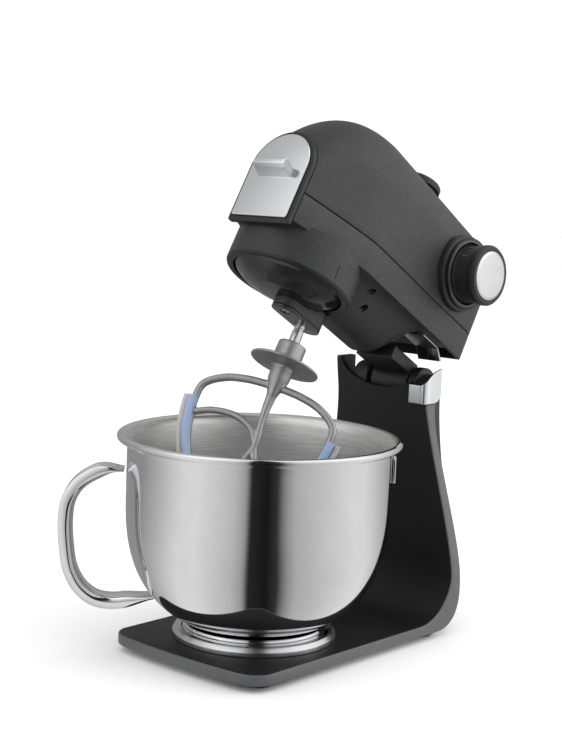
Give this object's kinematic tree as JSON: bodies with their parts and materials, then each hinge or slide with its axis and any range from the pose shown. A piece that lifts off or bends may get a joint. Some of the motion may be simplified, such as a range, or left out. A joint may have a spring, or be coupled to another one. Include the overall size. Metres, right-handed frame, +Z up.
{
  "type": "stand mixer",
  "caption": "Tilt-head stand mixer with a steel bowl and side handle, planetary flat beater with soft wiping edge, side speed knob and bent-plate base.",
  "frame": {"origin": "bottom centre of the whole mixer with its head raised, on the plane the feet stand on", "axes": "+Z up, nose and bowl towards -Y, speed knob and release lever towards +X"},
  "size_m": [0.2402, 0.3834, 0.4429],
  "materials": {
    "body_paint": "satin",
    "black_plastic": "fine texture",
    "chrome": "polished",
    "satin_steel": "satin",
    "polished_steel": "mirror polished",
    "steel": "turned",
    "cast_aluminium": "cast, satin",
    "blue_silicone": "matt silicone",
    "grey_silicone": "translucent silicone",
    "rubber": "matt",
    "gear_plastic": "moulded",
    "copper": "wound wire",
    "board_green": "lacquered"
  },
  "bodies": {
    "base": {"base_frame": "body_paint", "base_bottom_plate": "black_plastic", "foot_1": "rubber", "foot_2": "rubber", "foot_3": "rubber", "foot_4": "rubber", "column_rear_cover": "black_plastic", "bowl_clamp_ring": "satin_steel", "cord_gland": "rubber", "hinge_knuckle_left": "black_plastic", "hinge_knuckle_right": "black_plastic", "hinge_pin": "steel"},
    "lever": {"lever_plate": "chrome", "lever_core": "black_plastic"},
    "head": {"head_lower_housing": "body_paint", "head_upper_cover": "body_paint", "head_top_panel": "body_paint", "front_bezel": "black_plastic", "hinge_barrel": "black_plastic", "latch_bracket": "satin_steel", "gearbox_plate": "cast_aluminium", "motor_stator": "steel", "ring_gear": "gear_plastic", "drive_belt": "rubber", "knob_bezel": "black_plastic", "knob_ring": "satin_steel", "speed_control": "black_plastic", "control_board": "board_green"},
    "knob": {"speed_knob": "black_plastic", "knob_cap": "satin_steel"},
    "hub_lid": {"hub_cover": "chrome"},
    "port_lid": {"port_cap": "black_plastic"},
    "motor": {"motor_rotor": "copper", "motor_pulley": "steel"},
    "layshaft": {"layshaft_wheel": "gear_plastic"},
    "planet": {"main_gear": "gear_plastic", "planet_shaft": "steel", "planet_spindle": "steel", "planet_dome": "black_plastic", "carrier_arm": "body_paint", "carrier_arm_cap": "black_plastic", "carrier_arm_screw": "steel"},
    "output": {"output_shaft": "steel", "planet_gear": "gear_plastic", "shaft_cross_pin": "steel"},
    "beater": {"beater_frame": "cast_aluminium", "beater_silicone_edge": "blue_silicone", "beater_wiper_fin": "grey_silicone"},
    "bowl": {"bowl_shell": "polished_steel", "bowl_foot": "polished_steel", "bowl_handle": "polished_steel"}
  },
  "joints": [
    {"name": "head_tilt", "type": "hinge", "parent": "base", "child": "head", "pos_m": [0.00211, 0.10206, 0.216], "axis": [1, 0, 0], "range_deg": [0, 30.5]},
    {"name": "release_lever", "type": "hinge", "parent": "base", "child": "lever", "pos_m": [0.00211, 0.10206, 0.216], "axis": [1, 0, 0], "range_deg": [-20, 0], "stiffness_Nm_per_rad": 0.3},
    {"name": "knob_turn", "type": "hinge", "parent": "head", "child": "knob", "pos_m": [0.06211, 0.12106, 0.31623], "axis": [1, 0, 0], "range_deg": [-225, 45]},
    {"name": "hub_cover_pull", "type": "slide", "parent": "head", "child": "hub_lid", "axis": [0, -0.8616, 0.5075], "range_m": [0, 0.02]},
    {"name": "port_cap_lift", "type": "slide", "parent": "head", "child": "port_lid", "axis": [0, 0.5075, 0.8616], "range_m": [0, 0.02]},
    {"name": "planet_turn", "type": "hinge", "parent": "head", "child": "planet", "pos_m": [0.00211, -0.04916, 0.30507], "axis": [0, 0.5075, 0.8616], "range_deg": [-75, 75]},
    {"name": "layshaft_turn", "type": "hinge", "parent": "head", "child": "layshaft", "pos_m": [0.00211, 0.02275, 0.32075], "axis": [0, 0.5075, 0.8616], "range_deg": [-225, 225]},
    {"name": "motor_turn", "type": "hinge", "parent": "head", "child": "motor", "pos_m": [0.00211, 0.07349, 0.30246], "axis": [0, 0.5075, 0.8616], "range_deg": [-675, 675]},
    {"name": "beater_spin", "type": "hinge", "parent": "planet", "child": "output", "pos_m": [0.00211, -0.02915, 0.27008], "axis": [0, 0.5075, 0.8616], "range_deg": [-300, 300]},
    {"name": "beater_push_up", "type": "slide", "parent": "output", "child": "beater", "axis": [0, 0.5075, 0.8616], "range_m": [0, 0.006], "stiffness_N_per_m": 600},
    {"name": "bowl_twist", "type": "hinge", "parent": "base", "child": "bowl", "pos_m": [0.00211, -0.07344, 0.1], "axis": [0, 0, 1], "range_deg": [0, 30]}
  ],
  "couplings": [
    {"joint": "beater_spin", "follows": "planet_turn", "ratio": -4},
    {"joint": "layshaft_turn", "follows": "planet_turn", "ratio": -3},
    {"joint": "motor_turn", "follows": "planet_turn", "ratio": -9}
  ]
}
